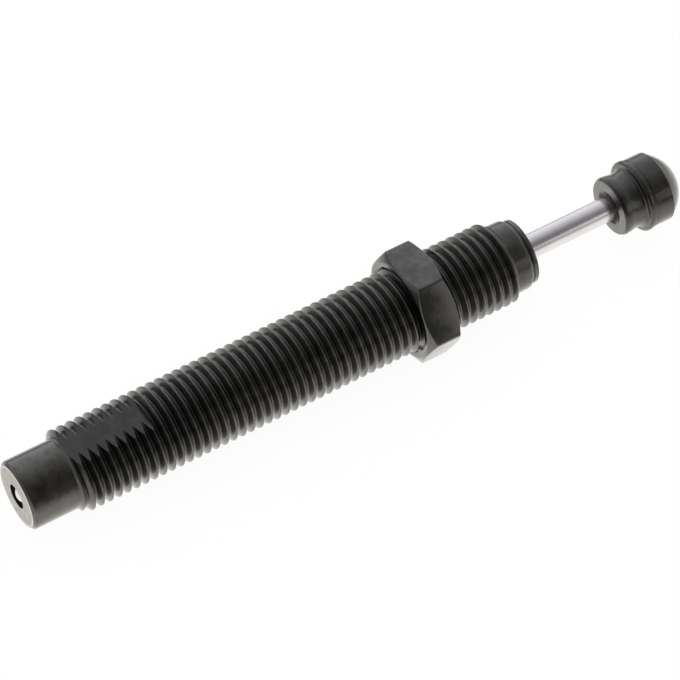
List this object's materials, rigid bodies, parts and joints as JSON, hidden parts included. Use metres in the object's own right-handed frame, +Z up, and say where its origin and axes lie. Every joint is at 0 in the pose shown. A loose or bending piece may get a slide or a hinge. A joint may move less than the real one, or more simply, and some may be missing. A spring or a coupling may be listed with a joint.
{
  "type": "industrial shock absorber",
  "caption": "Threaded tubular shock absorber with a thin hexagon lock nut, a sliding chromed rod and a domed strike button.",
  "frame": {"origin": "centre of the rear end face", "axes": "+X along the axis towards the strike button, +Z up, out of one flat of the nut"},
  "size_m": [0.119, 0.0196, 0.017],
  "materials": {
    "black_oxide": "turned steel with an oiled black oxide finish",
    "nut_black_oxide": "matt black oxide on a pressed and faced hexagon",
    "bare_steel": "faced bare steel",
    "bearing_ball": "polished ball-bearing steel",
    "hard_chrome": "ground and hard-chromed rod",
    "ground_steel": "ground tool steel, oiled",
    "spring_steel": "drawn spring wire",
    "bronze": "turned bearing bronze",
    "nitrile": "moulded nitrile rubber",
    "polyurethane": "moulded polyurethane seal",
    "foam": "closed-cell foam",
    "button_black_oxide": "turned steel button, black oxide",
    "cap_black_oxide": "turned and hardened steel cap, black oxide"
  },
  "bodies": {
    "housing": {"outer_body": "black_oxide", "rear_end_plug": "bare_steel", "plug_o_ring": "nitrile", "fill_port_ball": "bearing_ball", "pressure_tube": "ground_steel", "spring_seat": "ground_steel", "return_spring": "spring_steel", "rod_bearing": "bronze", "foam_accumulator": "foam", "bearing_o_ring": "nitrile", "rod_seal": "polyurethane", "seal_energiser": "nitrile", "backup_washer": "ground_steel", "rod_wiper": "nitrile", "front_gland": "black_oxide"},
    "plunger": {"piston_rod": "hard_chrome", "piston": "ground_steel", "piston_ring": "bronze", "piston_retainer": "ground_steel", "stop_button": "button_black_oxide", "impact_cap": "cap_black_oxide"},
    "check_valve": {"check_ring": "ground_steel"},
    "nut": {"lock_nut": "nut_black_oxide"}
  },
  "joints": [
    {"name": "rod_stroke", "type": "slide", "parent": "housing", "child": "plunger", "axis": [-1, 0, 0], "range_m": [0, 0.016], "stiffness_N_per_m": 312, "springref_m": -0.0128, "deforming": ["return_spring"]},
    {"name": "check_ring_lift", "type": "slide", "parent": "plunger", "child": "check_valve", "axis": [-1, 0, 0], "range_m": [0, 0.00035]},
    {"name": "nut_travel", "type": "slide", "parent": "housing", "child": "nut", "axis": [1, 0, 0], "range_m": [-0.044, 0.0117]}
  ]
}
